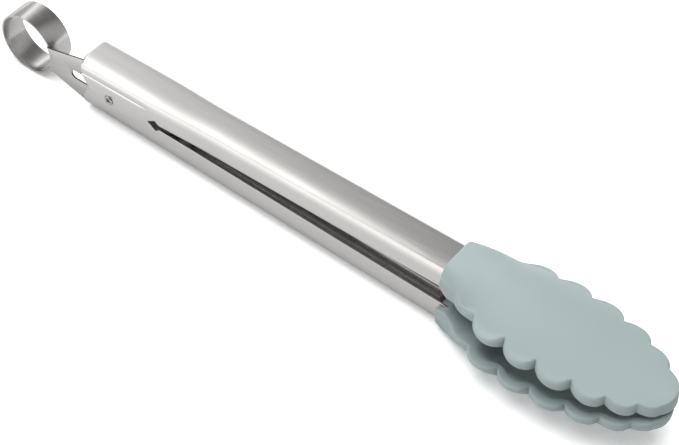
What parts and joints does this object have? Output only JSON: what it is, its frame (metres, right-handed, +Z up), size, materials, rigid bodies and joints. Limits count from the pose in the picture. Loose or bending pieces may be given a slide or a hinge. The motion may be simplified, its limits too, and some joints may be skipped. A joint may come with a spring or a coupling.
{
  "type": "kitchen tongs",
  "caption": "Spring loaded kitchen tongs with brushed steel channel arms, scalloped silicone jaw heads and a pull ring lock, shown closed and locked.",
  "frame": {"origin": "centre of the bounding box in X and Y, and its lowest point in Z: the surface the tongs lie on", "axes": "+X runs from the pull ring to the jaw tips, +Y runs across the tongs along the hinge pin, +Z is up"},
  "size_m": [0.3524, 0.0498, 0.0394],
  "materials": {
    "brushed_steel": "stainless sheet with a fine grain along the arm",
    "plate_steel": "satin stainless sheet and band",
    "polished_steel": "polished stainless rivet and bushing",
    "spring_steel": "drawn spring wire",
    "silicone": "satin moulded silicone in pale sage blue",
    "nylon": "moulded nylon core"
  },
  "bodies": {
    "lower_jaw": {"lower_arm": "brushed_steel", "lower_core": "nylon", "lower_head": "silicone"},
    "upper_jaw": {"upper_arm": "brushed_steel", "upper_core": "nylon", "upper_head": "silicone", "hinge_rivet": "polished_steel"},
    "pin_bush": {"slot_bushing": "polished_steel", "torsion_spring": "spring_steel"},
    "lock_slider": {"lock_plate": "plate_steel", "pull_ring": "plate_steel"}
  },
  "joints": [
    {"name": "arm_hinge", "type": "hinge", "parent": "lower_jaw", "child": "upper_jaw", "pos_m": [-0.10881, 0, 0.01635], "axis": [0, -1, 0], "range_deg": [0, 22], "stiffness_Nm_per_rad": 0.45, "springref_deg": 42, "deforming": ["torsion_spring"]},
    {"name": "bush_turn", "type": "hinge", "parent": "lower_jaw", "child": "pin_bush", "pos_m": [-0.10881, 0, 0.01635], "axis": [0, -1, 0], "range_deg": [0, 11]},
    {"name": "lock_slide", "type": "slide", "parent": "pin_bush", "child": "lock_slider", "axis": [0.9999, 0, 0.0168], "range_m": [0, 0.021]}
  ],
  "couplings": [
    {"joint": "bush_turn", "follows": "arm_hinge", "ratio": 0.5},
    {"joint": "lock_slide", "follows": "arm_hinge", "m_per_rad": 0.054691}
  ]
}
